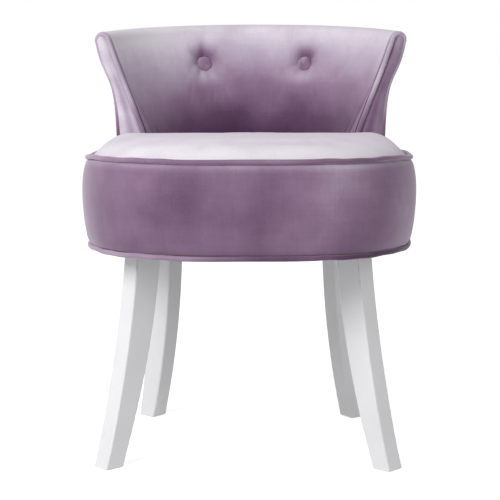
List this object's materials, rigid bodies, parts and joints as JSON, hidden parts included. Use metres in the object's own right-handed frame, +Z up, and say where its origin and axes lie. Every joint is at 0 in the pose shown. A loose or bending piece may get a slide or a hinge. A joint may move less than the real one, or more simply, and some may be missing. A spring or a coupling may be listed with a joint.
{
  "type": "vanity stool",
  "caption": "Low vanity stool with a round-cornered drum seat piped at both edges, a low curved back that flares outward with sewn tufts, and splayed sabre legs.",
  "frame": {"origin": "on the floor, at the centre of the box around the stool", "axes": "+Z up, -Y the way the sitter faces, +X to the right in the front view"},
  "size_m": [0.458, 0.4297, 0.5904],
  "materials": {
    "velvet": "cut-pile upholstery velvet, mauve",
    "fibre_padding": "needled polyester fibre",
    "foam": "open-cell upholstery foam",
    "plywood": "bare plywood",
    "softwood": "planed pine",
    "white_painted_wood": "satin white paint",
    "beech": "bare, fluted",
    "zinc_plated_steel": "bright zinc",
    "staple_wire": "galvanised wire",
    "dust_cloth": "black spun-bonded cloth",
    "twine": "waxed polyester twine",
    "tie_washer_plastic": "moulded, plain"
  },
  "bodies": {
    "root": {"seat_band_cover": "velvet", "seat_top_cover": "velvet", "seat_top_piping": "velvet", "seat_bottom_piping": "velvet", "back_inside_cover": "velvet", "back_outside_cover": "velvet", "left_end_facing": "velvet", "right_end_facing": "velvet", "left_facing_piping": "velvet", "right_facing_piping": "velvet", "left_button": "velvet", "right_button": "velvet", "seat_band_padding": "fibre_padding", "back_rear_padding": "fibre_padding", "seat_foam_pad": "foam", "back_foam_pad": "foam", "seat_hoop": "plywood", "seat_base_board": "plywood", "seat_deck_board": "plywood", "back_shell": "plywood", "seat_spacer_blocks": "softwood", "back_bottom_rail": "softwood", "front_left_leg": "white_painted_wood", "front_right_leg": "white_painted_wood", "rear_left_leg": "white_painted_wood", "rear_right_leg": "white_painted_wood", "leg_dowels": "beech", "back_bolts": "zinc_plated_steel", "back_bolt_washers": "zinc_plated_steel", "back_rail_inserts": "zinc_plated_steel", "frame_screws": "zinc_plated_steel", "leg_hanger_bolts": "zinc_plated_steel", "leg_tee_nuts": "zinc_plated_steel", "dust_cover_staples": "staple_wire", "dust_cover": "dust_cloth", "button_ties": "twine", "button_tie_washers": "tie_washer_plastic"}
  },
  "joints": []
}
